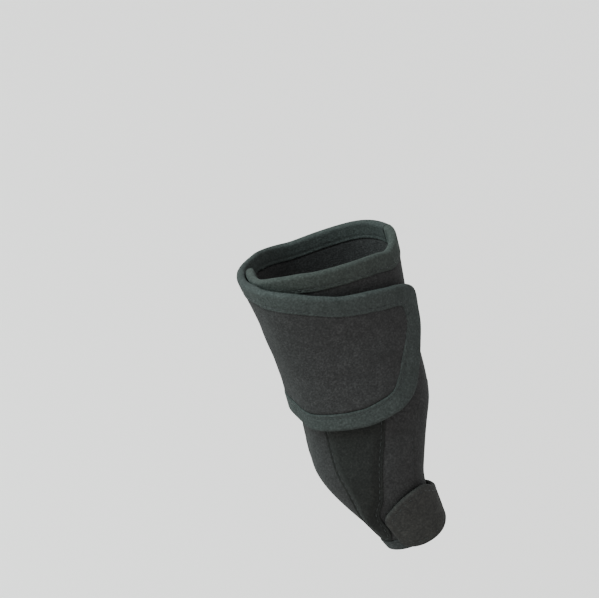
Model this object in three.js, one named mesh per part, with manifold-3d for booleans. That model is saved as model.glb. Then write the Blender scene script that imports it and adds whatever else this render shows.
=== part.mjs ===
// Bunion corrector for the left foot, in millimetres.
// +X runs towards the toes, +Z is up and -Y is the inner (big toe) side of the foot.
// The origin lies on the inner sole, under the arch.
import * as THREE from 'three';
import Module from 'manifold-3d';

const wasm = await Module();
wasm.setup();

// Driving sizes
const DEVICE_LENGTH = 140;
const BALL_WIDTH = 82;
const INSTEP_HEIGHT = 62;

// Cloth thicknesses
const CLOTH = 3.0;
const POCKET_CLOTH = 1.5;
const TOE_CLOTH = 2.4;
const TAPE = 1.0;
const TAPED_EDGE = 1.2;

// Clearances and widths
const FIT_GAP = 0.35;
const LAYER_GAP = 0.6;
const TAPE_WIDTH = 7.0;
const HEM_WIDTH = 5;
const STATION_STEP = 11;
const SIDE_STEP = 8;
const BEND_LENGTH = 24;

// Sizes worked out from the ones above
const HALF_CLOTH = CLOTH / 2;
const HALF_EDGE = TAPED_EDGE / 2;
const SLOT = HALF_EDGE + FIT_GAP;
const HALF_TAPED = SLOT + TAPE;
const FOLD = FIT_GAP + TAPE;
const TRIM = 2.6;
const SPARE = 1;
const SPARE_TURN = 2;
const OPEN_SPARE = 0.7;
const PAST_END = 0.4;
const PANEL_MID = HALF_TAPED;
const PANEL_FACE = PANEL_MID + HALF_CLOTH;
const PANEL_STEP = PANEL_FACE + LAYER_GAP;
const POCKET_INNER = PANEL_FACE + LAYER_GAP;
const POCKET_OUTER = POCKET_INNER + POCKET_CLOTH;
const POCKET_STEP = POCKET_OUTER - PANEL_FACE;
const TAPE_STEP = HALF_TAPED - HALF_CLOTH;
const TOE_STRAP_INNER = PANEL_MID + HALF_TAPED + LAYER_GAP;
const TOE_STRAP_OUTER = TOE_STRAP_INNER + TOE_CLOTH;

// The foot the cloth is shaped on, a row for each section across it.
// along is a share of DEVICE_LENGTH. sole, top and the levels are shares of INSTEP_HEIGHT.
// medial, ridge, keel and the outer sides are shares of BALL_WIDTH.
// The ray columns are for the first toe on its own, the others for the whole foot.
const SECTIONS = named(
  ['along', 'sole', 'top', 'medial', 'medialLevel', 'ridge', 'keel', 'outer', 'outerLevel',
    'rayOuter', 'rayLevel'],
  [
    [-0.371, 0.290, 1.412, -0.402, 0.742, -0.024, 0.146, 0.378, 0.532, 0.378, 0.532],
    [-0.214, 0.218, 1.286, -0.415, 0.661, -0.037, 0.146, 0.402, 0.460, 0.402, 0.460],
    [-0.071, 0.137, 1.168, -0.402, 0.548, -0.073, 0.134, 0.427, 0.379, 0.427, 0.379],
    [0.071, 0.055, 1.010, -0.384, 0.419, -0.106, 0.085, 0.463, 0.290, 0.463, 0.290],
    [0.214, -0.048, 0.880, -0.396, 0.306, -0.140, -0.037, 0.500, 0.185, 0.500, 0.185],
    [0.357, -0.168, 0.746, -0.433, 0.210, -0.196, -0.183, 0.537, 0.081, 0.488, 0.081],
    [0.407, -0.174, 0.650, -0.449, 0.181, -0.232, -0.226, 0.549, 0.065, 0.341, 0.081],
    [0.457, -0.158, 0.552, -0.455, 0.161, -0.256, -0.256, 0.549, 0.065, 0.110, 0.113],
    [0.507, -0.131, 0.461, -0.451, 0.139, -0.280, -0.280, 0.549, 0.065, -0.073, 0.129],
    [0.557, -0.105, 0.381, -0.443, 0.121, -0.296, -0.296, 0.549, 0.065, -0.146, 0.129],
    [0.643, -0.077, 0.306, -0.420, 0.103, -0.293, -0.293, 0.549, 0.065, -0.152, 0.110],
    [0.729, -0.069, 0.248, -0.402, 0.090, -0.287, -0.287, 0.549, 0.065, -0.159, 0.090],
    [0.800, -0.069, 0.200, -0.390, 0.077, -0.280, -0.280, 0.549, 0.065, -0.177, 0.077],
  ],
);

// How square each quarter of a section is: 2 is an ellipse, more is squarer.
const SQUARENESS = { medialTop: 2.2, medialSole: 2.3, outerTop: 1.9, outerSole: 2.4 };

// The heel-side edge of the inner panel. around is in degrees, 0 the inner side, 90 the top.
const PANEL_HEEL_EDGE = named(['around', 'along'], [
  [-90, -0.272],
  [-67, -0.270],
  [-50, -0.264],
  [-25, -0.258],
  [-5, -0.236],
  [7, -0.209],
  [22, -0.181],
  [39, -0.153],
  [54, -0.130],
  [65, -0.112],
  [75, -0.109],
  [85, -0.113],
  [94, -0.123],
  [110, -0.135],
]);

// The panel's long edges, from under the strap to the web beside the toe.
const PANEL_TOP_EDGE = named(['along', 'around'], [
  [-0.420, 108],
  [0.343, 108],
  [0.371, 108],
  [0.400, 109.4],
  [0.429, 112.6],
  [0.450, 117.2],
  [0.471, 124.7],
  [0.486, 133.2],
  [0.500, 146.2],
  [0.512, 165],
  [0.515, 180],
]);
const PANEL_SOLE_EDGE = named(['along', 'around'], [
  [-0.420, -79],
  [0.140, -79],
  [0.214, -83.7],
  [0.286, -89],
  [0.336, -92],
  [0.371, -94.5],
  [0.400, -97.4],
  [0.429, -101.9],
  [0.450, -107.9],
  [0.471, -117.5],
  [0.486, -127.5],
  [0.500, -142.5],
  [0.512, -164],
  [0.515, -180],
]);

// Where the toe sleeve ends round the toe.
const SLEEVE_END = named(['around', 'along'], [
  [-180, 0.718],
  [-90, 0.714],
  [-45, 0.716],
  [0, 0.730],
  [45, 0.742],
  [90, 0.738],
  [135, 0.727],
  [180, 0.718],
]);

// The raised pocket on the panel: its lower and upper seams.
const POCKET_SEAMS = named(['along', 'lower', 'upper'], [
  [-0.043, -14, 24],
  [-0.029, -22, 31],
  [0.071, -25, 33],
  [0.179, -26, 32],
  [0.250, -26, 30],
  [0.336, -29, 23],
  [0.393, -31, 18],
  [0.436, -33, 13],
  [0.486, -39, 7],
  [0.529, -48, 0],
  [0.571, -56, -16],
  [0.629, -58, -19],
  [0.657, -54, -24],
  [0.668, -45, -30],
]);

// The wide strap: round the outer side and the sole, then over the panel as a flap.
// panel and pocket say how far it is lifted by the layers under it, heelTape by the tape.
const STRAP = named(['around', 'heel', 'toe', 'panel', 'pocket', 'heelTape'], [
  [84, -0.117, 0.356, 0, 0, 0],
  [112, -0.135, 0.344, 0, 0, 0],
  [136, -0.161, 0.309, 0, 0, 0],
  [156, -0.180, 0.273, 0, 0, 0],
  [182, -0.209, 0.242, 0, 0, 0],
  [225, -0.250, 0.211, 0, 0, 0],
  [252, -0.268, 0.197, 0, 0, 0],
  [277, -0.273, 0.187, 1, 0, 1],
  [294, -0.272, 0.187, 1, 0, 1],
  [308, -0.268, 0.194, 1, 0, 1],
  [320, -0.261, 0.211, 1, 0.2, 1],
  [331, -0.246, 0.231, 1, 0.8, 1],
  [344, -0.221, 0.248, 1, 1, 1.5],
  [354, -0.195, 0.263, 1, 1, 2],
  [365, -0.157, 0.284, 1, 1, 3],
  [376, -0.119, 0.302, 1, 1, 3],
  [396, -0.074, 0.312, 1, 1, 3],
  [412, -0.041, 0.313, 1, 0.5, 3],
  [425, -0.025, 0.313, 1, 0.1, 3],
  [450, 0.000, 0.314, 1, 0, 2],
]);

// Where the strap starts on the instep and where its free end stops, across its width.
const STRAP_ENDS = named(['across', 'start', 'end'], [
  [0, 109, 414],
  [0.04, 109, 427],
  [0.1, 109, 437],
  [0.18, 109, 443],
  [0.27, 109, 445],
  [0.43, 109, 442],
  [0.63, 109, 430],
  [0.78, 109, 422.5],
  [0.87, 109, 417],
  [0.94, 109, 411.5],
  [0.98, 109, 404.5],
  [1, 109, 396],
]);

// The toe strap, from the web over the top of the toe to its end on the inner side.
const TOE_STRAP = named(['around', 'heel', 'toe'], [
  [-13, 0.596, 0.674],
  [-9, 0.577, 0.698],
  [4, 0.561, 0.720],
  [27, 0.548, 0.733],
  [58, 0.556, 0.736],
  [90, 0.602, 0.728],
  [130, 0.612, 0.716],
  [176, 0.600, 0.704],
  [182, 0.604, 0.697],
]);

/** Turns a table into rows whose columns have names. */
function named(columns, rows) {
  return rows.map((row) => Object.fromEntries(columns.map((name, i) => [name, row[i]])));
}

/** Reads one column of a table on a smooth curve through its rows. */
function curve(rows, key, column, at) {
  const last = rows.length - 1;
  const slope = (i) => {
    const before = rows[Math.max(i - 1, 0)];
    const after = rows[Math.min(i + 1, last)];
    return (after[column] - before[column]) / (after[key] - before[key]);
  };
  if (at <= rows[0][key]) {
    return rows[0][column];
  }
  if (at >= rows[last][key]) {
    return rows[last][column];
  }
  let i = 0;
  while (at > rows[i + 1][key]) {
    i += 1;
  }
  const span = rows[i + 1][key] - rows[i][key];
  const t = (at - rows[i][key]) / span;
  const rise = rows[i + 1][column] - rows[i][column];
  const flat = rise === 0;
  const first = flat ? 0 : slope(i) * span;
  const second = flat ? 0 : slope(i + 1) * span;
  const t2 = t * t;
  const t3 = t2 * t;
  return rows[i][column] + (3 * t2 - 2 * t3) * rise
    + (t3 - 2 * t2 + t) * first + (t3 - t2) * second;
}

/** Eases from 0 to 1 as x runs from 0 to 1. */
function ease(x) {
  const t = Math.min(Math.max(x, 0), 1);
  return t * t * (3 - 2 * t);
}

/** Sizes of the foot's section at one station, in millimetres. */
function section(x, kind) {
  const share = x / DEVICE_LENGTH;
  const read = (column) => curve(SECTIONS, 'along', column, share);
  const ray = kind === 'ray';
  return {
    sole: read('sole') * INSTEP_HEIGHT,
    top: read('top') * INSTEP_HEIGHT,
    medial: read('medial') * BALL_WIDTH,
    medialLevel: read('medialLevel') * INSTEP_HEIGHT,
    ridge: read('ridge') * BALL_WIDTH,
    keel: read('keel') * BALL_WIDTH,
    outer: read(ray ? 'rayOuter' : 'outer') * BALL_WIDTH,
    outerLevel: read(ray ? 'rayLevel' : 'outerLevel') * INSTEP_HEIGHT,
  };
}

/** A point of the foot's surface: four quarter superellipses make each section. */
function skin(x, around, kind) {
  const s = section(x, kind);
  const angle = THREE.MathUtils.degToRad(around);
  const c = Math.cos(angle);
  const n = Math.sin(angle);
  const medial = c > 0;
  const top = n > 0;
  const quarter = (medial ? 'medial' : 'outer') + (top ? 'Top' : 'Sole');
  const power = 2 / SQUARENESS[quarter];
  const middle = top ? s.ridge : s.keel;
  const level = medial ? s.medialLevel : s.outerLevel;
  const side = medial ? s.medial : s.outer;
  const height = top ? s.top : s.sole;
  return new THREE.Vector3(
    x,
    middle + (side - middle) * Math.abs(c) ** power,
    level + (height - level) * Math.abs(n) ** power,
  );
}

/** Directions along and around the surface, per millimetre and per degree, and its normal. */
function frameAt(x, around, kind) {
  const alongStep = 0.2;
  const aroundStep = 1.5;
  const along = skin(x + alongStep, around, kind).sub(skin(x - alongStep, around, kind));
  const about = skin(x, around + aroundStep, kind).sub(skin(x, around - aroundStep, kind));
  along.divideScalar(2 * alongStep);
  about.divideScalar(2 * aroundStep);
  const normal = new THREE.Vector3().crossVectors(along, about).normalize();
  return { along, about, normal };
}

/** A point at a height above the foot's surface. */
function above(x, around, height, kind) {
  return skin(x, around, kind).addScaledVector(frameAt(x, around, kind).normal, height);
}

/** Makes a closed solid from points and faces, turned to face out. */
function solid(points, faces) {
  let volume = 0;
  for (const [a, b, c] of faces) {
    volume += points[a].dot(new THREE.Vector3().crossVectors(points[b], points[c]));
  }
  const order = volume < 0 ? [0, 2, 1] : [0, 1, 2];
  const vertProperties = new Float32Array(points.length * 3);
  points.forEach((p, i) => p.toArray(vertProperties, i * 3));
  const triVerts = new Uint32Array(faces.flatMap((face) => order.map((k) => face[k])));
  return new wasm.Manifold(new wasm.Mesh({ numProp: 3, vertProperties, triVerts }));
}

/** Joins two neighbouring rows of points with two triangles a cell. */
function quad(faces, a, b, c, d) {
  faces.push([a, b, c], [a, c, d]);
}

/** A sheet with an inner and an outer face over a grid, closed along its edges. */
function sheet(rows, columns, pointAt, ring = false) {
  const points = [];
  const faces = [];
  const index = (side, i, j) => (side * rows + i) * columns + (ring ? j % columns : j);
  for (let side = 0; side < 2; side += 1) {
    for (let i = 0; i < rows; i += 1) {
      for (let j = 0; j < columns; j += 1) {
        points.push(pointAt(i / (rows - 1), j / (ring ? columns : columns - 1), side));
      }
    }
  }
  const cells = ring ? columns : columns - 1;
  for (let i = 0; i < rows - 1; i += 1) {
    for (let j = 0; j < cells; j += 1) {
      quad(faces, index(1, i, j), index(1, i + 1, j), index(1, i + 1, j + 1), index(1, i, j + 1));
      quad(faces, index(0, i, j), index(0, i, j + 1), index(0, i + 1, j + 1), index(0, i + 1, j));
    }
  }
  for (let j = 0; j < cells; j += 1) {
    const e = rows - 1;
    quad(faces, index(0, 0, j), index(1, 0, j), index(1, 0, j + 1), index(0, 0, j + 1));
    quad(faces, index(0, e, j), index(0, e, j + 1), index(1, e, j + 1), index(1, e, j));
  }
  if (!ring) {
    for (let i = 0; i < rows - 1; i += 1) {
      const e = columns - 1;
      quad(faces, index(0, i, 0), index(0, i + 1, 0), index(1, i + 1, 0), index(1, i, 0));
      quad(faces, index(0, i, e), index(1, i, e), index(1, i + 1, e), index(0, i + 1, e));
    }
  }
  return solid(points, faces);
}

/** Spreads a path's stations along it, closer where it bends. Its points have x and around. */
function spaced(path, midAt, kind, step, closed = false) {
  const at = (p) => above(p.x, p.around, midAt(p.x, p.around), kind);
  const run = [0];
  let heading = null;
  for (let i = 1; i < path.length; i += 1) {
    const leg = at(path[i]).sub(at(path[i - 1]));
    const bend = heading ? heading.angleTo(leg) : 0;
    run.push(run[i - 1] + leg.length() + bend * BEND_LENGTH);
    heading = leg;
  }
  const total = run[run.length - 1];
  const count = Math.max(3, Math.round(total / step));
  const stations = [];
  let i = 0;
  for (let k = 0; k < (closed ? count : count + 1); k += 1) {
    const goal = (total * k) / count;
    while (i < run.length - 2 && run[i + 1] < goal) {
      i += 1;
    }
    const t = (goal - run[i]) / (run[i + 1] - run[i]);
    stations.push({
      x: THREE.MathUtils.lerp(path[i].x, path[i + 1].x, t),
      around: THREE.MathUtils.lerp(path[i].around, path[i + 1].around, t),
    });
  }
  return stations;
}

/**
 * Sweeps a flat outline along a path on the surface. The outline's points are distances
 * inwards from the path (to its left or right by side) and up from the cloth's middle.
 */
function sweep(path, outline, midAt, kind, side, closed = false) {
  const points = [];
  const faces = [];
  const many = path.length;
  const size = outline.length;
  const at = (p) => above(p.x, p.around, midAt(p.x, p.around), kind);
  for (let k = 0; k < many; k += 1) {
    const before = path[closed ? (k + many - 1) % many : Math.max(k - 1, 0)];
    const after = path[closed ? (k + 1) % many : Math.min(k + 1, many - 1)];
    const tangent = at(after).sub(at(before)).normalize();
    const here = path[k];
    const f = frameAt(here.x, here.around, kind);
    const inward = new THREE.Vector3().crossVectors(f.normal, tangent).multiplyScalar(side);
    const aa = f.along.dot(f.along);
    const ab = f.along.dot(f.about);
    const bb = f.about.dot(f.about);
    const ia = inward.dot(f.along);
    const ib = inward.dot(f.about);
    const det = aa * bb - ab * ab;
    const dx = (ia * bb - ib * ab) / det;
    const da = (ib * aa - ia * ab) / det;
    for (const [inwards, up] of outline) {
      const x = here.x + dx * inwards;
      const around = here.around + da * inwards;
      points.push(above(x, around, midAt(x, around) + up, kind));
    }
  }
  const spans = closed ? many : many - 1;
  for (let k = 0; k < spans; k += 1) {
    const next = (k + 1) % many;
    for (let j = 0; j < size; j += 1) {
      const j2 = (j + 1) % size;
      quad(faces, k * size + j, next * size + j, next * size + j2, k * size + j2);
    }
  }
  if (!closed) {
    const cap = THREE.ShapeUtils.triangulateShape(
      outline.map(([a, b]) => new THREE.Vector2(a, b)),
      [],
    );
    const clockwise = THREE.ShapeUtils.isClockWise(
      outline.map(([a, b]) => new THREE.Vector2(a, b)),
    );
    for (const [a, b, c] of cap) {
      const flip = clockwise;
      faces.push(flip ? [a, c, b] : [a, b, c]);
      const far = (many - 1) * size;
      faces.push(flip ? [far + a, far + b, far + c] : [far + a, far + c, far + b]);
    }
  }
  return solid(points, faces);
}

/**
 * The folded tape's outline, a U that takes the thinned edge of the cloth. A tape that bends
 * across its width has middle points on its faces.
 */
function tapeOutline(width, bent = false) {
  const round = TAPE * 0.6;
  const middle = (up) => (bent ? [[width / 2, up]] : []);
  return [
    [-FOLD + round, -HALF_TAPED],
    ...middle(-HALF_TAPED),
    [width, -HALF_TAPED],
    [width, -SLOT],
    ...middle(-SLOT),
    [-FIT_GAP, -SLOT],
    [-FIT_GAP, SLOT],
    ...middle(SLOT),
    [width, SLOT],
    [width, HALF_TAPED],
    ...middle(HALF_TAPED),
    [-FOLD + round, HALF_TAPED],
    [-FOLD, HALF_TAPED - round],
    [-FOLD, -HALF_TAPED + round],
  ];
}

/** The room a tape takes: all that lies past the edge and above or below the thinned cloth. */
function roomOutline(width, bent = false) {
  const far = HALF_CLOTH + 1;
  const middle = (up) => (bent ? [[width / 2, up]] : []);
  return [
    [-TRIM, -far],
    ...middle(-far),
    [width + FIT_GAP, -far],
    [width + FIT_GAP, -HALF_EDGE],
    ...middle(-HALF_EDGE),
    [0, -HALF_EDGE],
    [0, HALF_EDGE],
    ...middle(HALF_EDGE),
    [width + FIT_GAP, HALF_EDGE],
    [width + FIT_GAP, far],
    ...middle(far),
    [-TRIM, far],
  ];
}

/** Lengthens a path a little past both of its ends. */
function longer(path) {
  const past = (end, next) => ({
    x: end.x + (end.x - next.x) * PAST_END,
    around: end.around + (end.around - next.around) * PAST_END,
  });
  const last = path.length - 1;
  return [past(path[0], path[1]), ...path, past(path[last], path[last - 1])];
}

/** Takes the room for a tape out of the cloth it folds over. */
function thinned(body, path, outline, midAt, kind, side, closed = false) {
  const room = closed ? path : longer(path);
  return body.subtract(sweep(room, outline, midAt, kind, side, closed));
}

/** Turns a solid into a named mesh with its own material. */
function part(name, body, colour) {
  const mesh = body.getMesh();
  const geometry = new THREE.BufferGeometry();
  geometry.setAttribute('position', new THREE.BufferAttribute(new Float32Array(mesh.vertProperties), 3));
  geometry.setIndex(new THREE.BufferAttribute(new Uint32Array(mesh.triVerts), 1));
  geometry.computeVertexNormals();
  const material = new THREE.MeshStandardMaterial({ color: colour, roughness: 0.95, metalness: 0 });
  material.name = name;
  const node = new THREE.Mesh(geometry, material);
  node.name = name;
  return node;
}

/** Splits a line evenly into points from its function of a share. */
function trace(count, pointAt) {
  return Array.from({ length: count + 1 }, (_, i) => pointAt(i / count));
}

// Inner panel: a ring over the whole toe, opened along the outer side up to the web
const panelMid = () => PANEL_MID;
const sleeveEnd = (around) => curve(SLEEVE_END, 'around', 'along', around) * DEVICE_LENGTH - FOLD;
const panelHeel = (around) => curve(PANEL_HEEL_EDGE, 'around', 'along', around) * DEVICE_LENGTH + FOLD;

function panelPoint(share, turn, side) {
  const around = turn * 360 - 180;
  const x = THREE.MathUtils.lerp(panelHeel(around) - SPARE, sleeveEnd(around) + SPARE, share);
  return above(x, around, PANEL_MID + (side ? HALF_CLOTH : -HALF_CLOTH), 'ray');
}

function openPoint(share, turn, side) {
  const first = PANEL_TOP_EDGE[0].along;
  const last = PANEL_TOP_EDGE[PANEL_TOP_EDGE.length - 1].along;
  const along = last - (last - first) * (1 - share) ** 2.4;
  const low = curve(PANEL_TOP_EDGE, 'along', 'around', along) + OPEN_SPARE;
  const high = 360 + curve(PANEL_SOLE_EDGE, 'along', 'around', along) - OPEN_SPARE;
  const around = THREE.MathUtils.lerp(low, Math.max(low, high), turn) + (turn - 0.5) * 0.02;
  return above(along * DEVICE_LENGTH, around, side ? PANEL_FACE + 5 : -3, 'ray');
}

const webX = PANEL_TOP_EDGE[PANEL_TOP_EDGE.length - 1].along * DEVICE_LENGTH;
const edgePath = (table, from) => trace(60, (t) => {
  const start = from * DEVICE_LENGTH;
  const x = webX - (webX - start) * (1 - t) ** 2.4;
  return { x, around: curve(table, 'along', 'around', x / DEVICE_LENGTH) };
});
const topEdge = edgePath(PANEL_TOP_EDGE, 0.396);
const soleEdge = edgePath(PANEL_SOLE_EDGE, 0.225).map((p) => ({ x: p.x, around: p.around + 360 }));
const sidePath = spaced([...topEdge, ...soleEdge.slice(0, -1).reverse()], panelMid, 'ray', SIDE_STEP);
const heelPath = spaced(
  trace(90, (t) => {
    const around = THREE.MathUtils.lerp(-77, 106, t);
    return { x: panelHeel(around), around };
  }),
  panelMid,
  'ray',
  STATION_STEP,
);
const hemPath = spaced(
  trace(90, (t) => ({ x: sleeveEnd(360 * t - 180), around: 360 * t - 180 })),
  panelMid,
  'ray',
  11,
  true,
);

let panel = sheet(24, 30, panelPoint, true).subtract(sheet(36, 8, openPoint));
panel = thinned(panel, sidePath, roomOutline(TAPE_WIDTH, true), panelMid, 'ray', -1);
panel = thinned(panel, heelPath, roomOutline(TAPE_WIDTH), panelMid, 'ray', -1);
panel = thinned(panel, hemPath, roomOutline(HEM_WIDTH), panelMid, 'ray', 1, true);
const sideTape = sweep(sidePath, tapeOutline(TAPE_WIDTH, true), panelMid, 'ray', -1);
const heelTape = sweep(heelPath, tapeOutline(TAPE_WIDTH), panelMid, 'ray', -1);
const toeHem = sweep(hemPath, tapeOutline(HEM_WIDTH), panelMid, 'ray', 1, true);

// Pocket
const pocket = sheet(18, 5, (share, turn, side) => {
  const rows = POCKET_SEAMS;
  const eased = 0.5 - 0.5 * Math.cos(Math.PI * share);
  const along = THREE.MathUtils.lerp(rows[0].along, rows[rows.length - 1].along, 0.5 * (share + eased));
  const low = curve(rows, 'along', 'lower', along);
  const high = curve(rows, 'along', 'upper', along);
  const around = THREE.MathUtils.lerp(low, high, turn);
  return above(along * DEVICE_LENGTH, around, side ? POCKET_OUTER : POCKET_INNER, 'ray');
});

// Wide strap
const strapHeel = (around) => curve(STRAP, 'around', 'heel', around) * DEVICE_LENGTH + FOLD;
const strapToe = (around) => curve(STRAP, 'around', 'toe', around) * DEVICE_LENGTH - FOLD;
const strapX = (across, around) => THREE.MathUtils.lerp(strapHeel(around), strapToe(around), across);
const strapStart = (across) => curve(STRAP_ENDS, 'across', 'start', across);
const strapEnd = (across) => curve(STRAP_ENDS, 'across', 'end', across);

function strapMid(x, around) {
  const panelLift = PANEL_STEP * curve(STRAP, 'around', 'panel', around);
  const pocketLift = POCKET_STEP * curve(STRAP, 'around', 'pocket', around);
  const across = (x - strapHeel(around)) / (strapToe(around) - strapHeel(around));
  const tapeLift = TAPE_STEP * curve(STRAP, 'around', 'heelTape', around) * (1 - ease(across / 0.35));
  return HALF_TAPED + panelLift + pocketLift + tapeLift;
}

// Its rows stay level up to LEVEL_TURN and then spread to follow the rounded free end
const LEVEL_SHARE = 0.84;
const LEVEL_TURN = 392;
const strapSheet = sheet(45, 7, (share, turn, side) => {
  const across = 0.5 - 0.5 * Math.cos(Math.PI * turn);
  const end = strapEnd(across) + SPARE_TURN;
  const around = share < LEVEL_SHARE
    ? THREE.MathUtils.lerp(strapStart(across), LEVEL_TURN, share / LEVEL_SHARE)
    : THREE.MathUtils.lerp(LEVEL_TURN, end, (share - LEVEL_SHARE) / (1 - LEVEL_SHARE));
  const x = strapX(across, around) + (2 * across - 1) * SPARE;
  return above(x, around, strapMid(x, around) + (side ? HALF_CLOTH : -HALF_CLOTH), 'foot');
});
const heelEdge = trace(200, (t) => {
  const around = THREE.MathUtils.lerp(strapStart(0) + 1, strapEnd(0), t);
  return { x: strapHeel(around), around };
});
const freeEnd = trace(120, (t) => {
  const across = 0.5 - 0.5 * Math.cos(Math.PI * t);
  const around = strapEnd(across);
  return { x: strapX(across, around), around };
});
const toeEdge = trace(200, (t) => {
  const around = THREE.MathUtils.lerp(strapEnd(1), strapStart(1) + 1, t);
  return { x: strapToe(around), around };
});
const strapPath = spaced(
  [...heelEdge, ...freeEnd.slice(1), ...toeEdge.slice(1)],
  strapMid,
  'foot',
  STATION_STEP,
);
const strapRoom = roomOutline(TAPE_WIDTH, true);
const strap = thinned(strapSheet, strapPath, strapRoom, strapMid, 'foot', -1);
const strapTape = sweep(strapPath, tapeOutline(TAPE_WIDTH, true), strapMid, 'foot', -1);

// Toe strap
const toeStrap = sheet(16, 5, (share, turn, side) => {
  const first = TOE_STRAP[0].around;
  const last = TOE_STRAP[TOE_STRAP.length - 1].around;
  const around = THREE.MathUtils.lerp(first, last, share);
  const heel = curve(TOE_STRAP, 'around', 'heel', around) * DEVICE_LENGTH;
  const toe = curve(TOE_STRAP, 'around', 'toe', around) * DEVICE_LENGTH;
  const x = THREE.MathUtils.lerp(heel, toe, turn);
  return above(x, around, side ? TOE_STRAP_OUTER : TOE_STRAP_INNER, 'ray');
});

const device = new THREE.Group();
device.name = 'bunion_corrector';
device.add(
  part('medial_panel', panel, 0x2b2e2e),
  part('splint_pocket', pocket, 0x242626),
  part('midfoot_strap', strap, 0x2e3131),
  part('strap_binding', strapTape, 0x3a3e3d),
  part('panel_top_binding', heelTape, 0x363a39),
  part('panel_side_binding', sideTape, 0x363a39),
  part('toe_strap', toeStrap, 0x2e3131),
  part('toe_hem', toeHem, 0x363a39),
);

export default device;
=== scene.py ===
# %% [markdown]
# # A bunion corrector, dressed in cloth
# The real object is a soft brace, the left one of a pair. A panel of padded loop cloth covers
# the inner side and closes into a toe sleeve. A wide strap starts on top, at the instep, goes
# round the outer side and underneath, and ends as a flap over the panel.
# This lesson builds each layer as a surface worked out with numpy. Every layer lies at its own
# height above one smooth form, so that nothing has to be fitted by hand.

import bpy
import numpy as np
from mathutils import Matrix, Vector


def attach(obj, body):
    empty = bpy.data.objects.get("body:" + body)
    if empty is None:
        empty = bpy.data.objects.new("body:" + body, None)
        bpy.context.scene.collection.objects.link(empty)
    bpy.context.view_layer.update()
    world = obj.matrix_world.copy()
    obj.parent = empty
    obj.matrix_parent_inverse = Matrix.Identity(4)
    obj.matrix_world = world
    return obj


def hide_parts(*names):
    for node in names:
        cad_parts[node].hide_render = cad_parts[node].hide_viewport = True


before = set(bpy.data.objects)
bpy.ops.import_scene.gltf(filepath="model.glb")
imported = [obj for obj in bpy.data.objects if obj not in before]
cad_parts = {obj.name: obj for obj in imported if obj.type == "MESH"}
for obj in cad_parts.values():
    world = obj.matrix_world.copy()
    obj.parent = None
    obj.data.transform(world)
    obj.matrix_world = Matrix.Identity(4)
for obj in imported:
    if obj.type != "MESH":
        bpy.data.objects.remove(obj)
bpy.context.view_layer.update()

# %% [markdown]
# ## Camera
# The photograph looks at the inner side of the brace, a little from above, with its toe end
# turned down to the right. A long lens at 0.85 m keeps the perspective weak, and a rolled camera
# gives the slope of the brace in the picture. The camera comes first, because every later choice
# is judged through it.

# %% Camera
MM = 0.001
AZIMUTH, ELEVATION, ROLL = np.radians([-15.0, 15.0, 56.0])
DISTANCE = 0.85
SENSOR_MM = 36
NEAR, FAR = 0.01, 60
PIXELS_PER_MM = 2.198
IMAGE = (599, 598)
ORIGIN_PIXEL = (275, 350)


def unit(vectors):
    """Each vector divided by its length."""
    vectors = np.asarray(vectors, float)
    return vectors / np.linalg.norm(vectors, axis=-1, keepdims=True)


def camera_axes(azimuth, elevation, roll):
    """Right, down and back of a camera that looks from an azimuth and elevation, then rolls."""
    ce, se = np.cos(elevation), np.sin(elevation)
    back = np.array([np.sin(azimuth) * ce, -np.cos(azimuth) * ce, se])
    level = np.array([np.cos(azimuth), np.sin(azimuth), 0.0])
    up = np.cross(back, level)
    right = level * np.cos(roll) + up * np.sin(roll)
    down = level * np.sin(roll) - up * np.cos(roll)
    return right, down, back


right, down, back = camera_axes(AZIMUTH, ELEVATION, ROLL)
focal_px = PIXELS_PER_MM * DISTANCE / MM
offset = [(ORIGIN_PIXEL[i] - IMAGE[i] / 2) / focal_px * DISTANCE for i in (0, 1)]
place = back * DISTANCE - right * offset[0] - down * offset[1]
lens = bpy.data.cameras.new("photo_camera")
lens.sensor_width = SENSOR_MM
lens.lens = focal_px / IMAGE[0] * SENSOR_MM
lens.clip_start, lens.clip_end = NEAR, FAR
camera = bpy.data.objects.new("photo_camera", lens)
bpy.context.collection.objects.link(camera)
turn = Matrix([[*column] for column in np.stack([right, -down, back], 1)])
camera.matrix_world = Matrix.Translation(Vector(place)) @ turn.to_4x4()
bpy.context.scene.camera = camera
print("lens, mm:", round(lens.lens, 1), "place, m:", place.round(3).tolist())

# %% [markdown]
# ## Sizes
# These are the sizes of the real brace, in millimetres. The cloth is a padded loop fabric 3 mm
# thick, and its edges are bound with a folded tape. The tables are the same shares of the main
# sizes as the solids use, so that each layer stays where its solid is.

# %% Sizes and clearances
DEVICE_LENGTH, BALL_WIDTH, INSTEP_HEIGHT = 140.0, 82.0, 62.0
CLOTH, POCKET_CLOTH, TOE_CLOTH = 3.0, 1.5, 2.4
TAPE, TAPED_EDGE, TAPE_WIDTH, HEM_WIDTH = 1.0, 1.2, 7.0, 5.0
FIT_GAP, LAYER_GAP = 0.35, 0.6
HALF_CLOTH = CLOTH / 2
HALF_TAPED = TAPED_EDGE / 2 + FIT_GAP + TAPE
FOLD = FIT_GAP + TAPE
PANEL_MID = HALF_TAPED
PANEL_FACE = PANEL_MID + HALF_CLOTH
PANEL_STEP = PANEL_FACE + LAYER_GAP
POCKET_INNER = PANEL_FACE + LAYER_GAP
POCKET_OUTER = POCKET_INNER + POCKET_CLOTH
POCKET_STEP = POCKET_OUTER - PANEL_FACE
TAPE_STEP = HALF_TAPED - HALF_CLOTH
TOE_STRAP_INNER = PANEL_MID + HALF_TAPED + LAYER_GAP
TOE_STRAP_OUTER = TOE_STRAP_INNER + TOE_CLOTH
print("cloth", CLOTH, "mm, bound edge", round(2 * HALF_TAPED, 2), "mm")


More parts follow.
